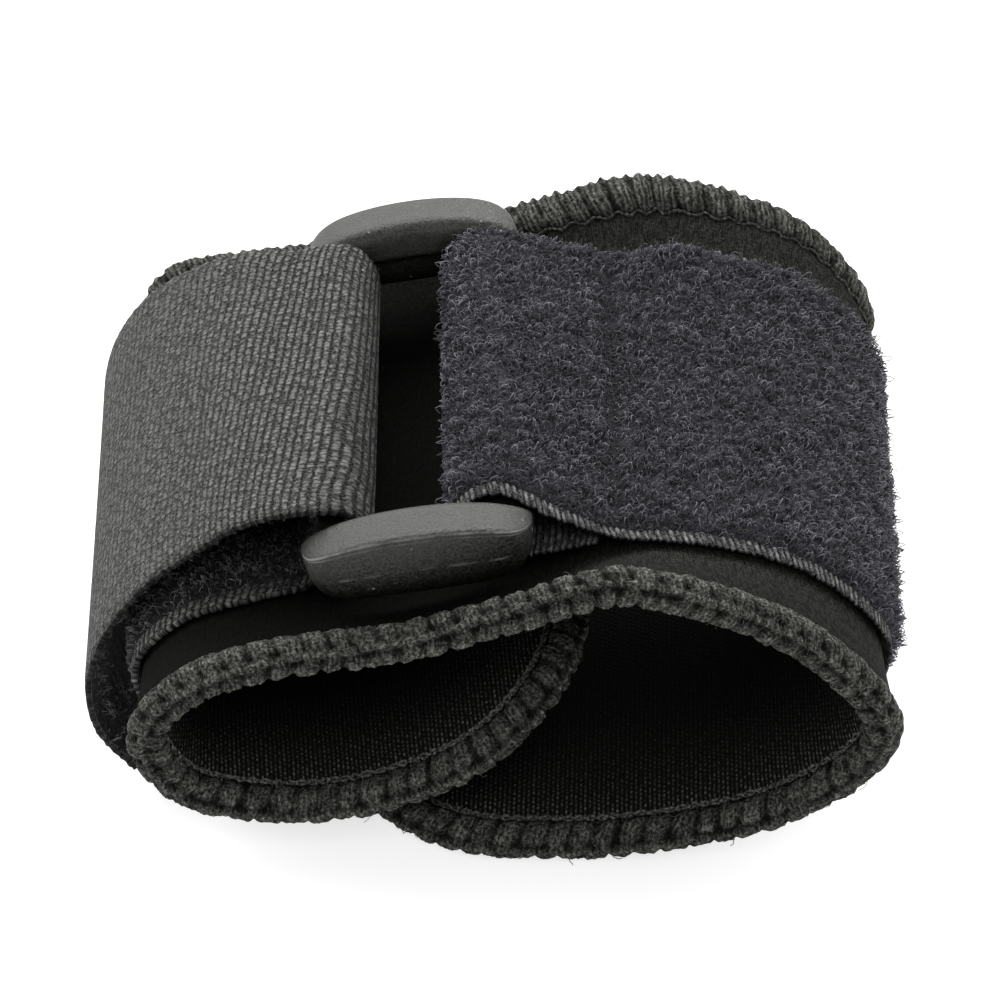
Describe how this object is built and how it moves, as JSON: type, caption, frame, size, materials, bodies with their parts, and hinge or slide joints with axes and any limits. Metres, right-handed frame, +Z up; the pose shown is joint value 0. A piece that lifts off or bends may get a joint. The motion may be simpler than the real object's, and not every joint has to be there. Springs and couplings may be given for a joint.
{
  "type": "wrist compression wrap",
  "caption": "Padded neoprene wrist band with overlocked edges, coiled on a table, closed by a looped-pile strap and a woven pull strap that meet at a moulded plastic ring.",
  "frame": {"origin": "middle of the outline on the table the wrap lies on", "axes": "+X from the pull strap's free end towards the sewn strap's side, +Y from the front edge to the rear edge along the wrist, +Z up"},
  "size_m": [0.0855, 0.0727, 0.0383],
  "materials": {
    "neoprene": "knit-faced foam rubber, matt charcoal",
    "overlock": "charcoal polyester yarn, overlocked",
    "plastic": "moulded, satin charcoal",
    "pile": "unbroken loop pile, charcoal",
    "webbing": "ribbed woven tape, grey"
  },
  "bodies": {
    "root": {"neoprene_band": "neoprene", "front_edging": "overlock", "rear_edging": "overlock", "ring_buckle": "plastic", "ring_strap": "pile", "pull_strap": "webbing"}
  },
  "joints": []
}
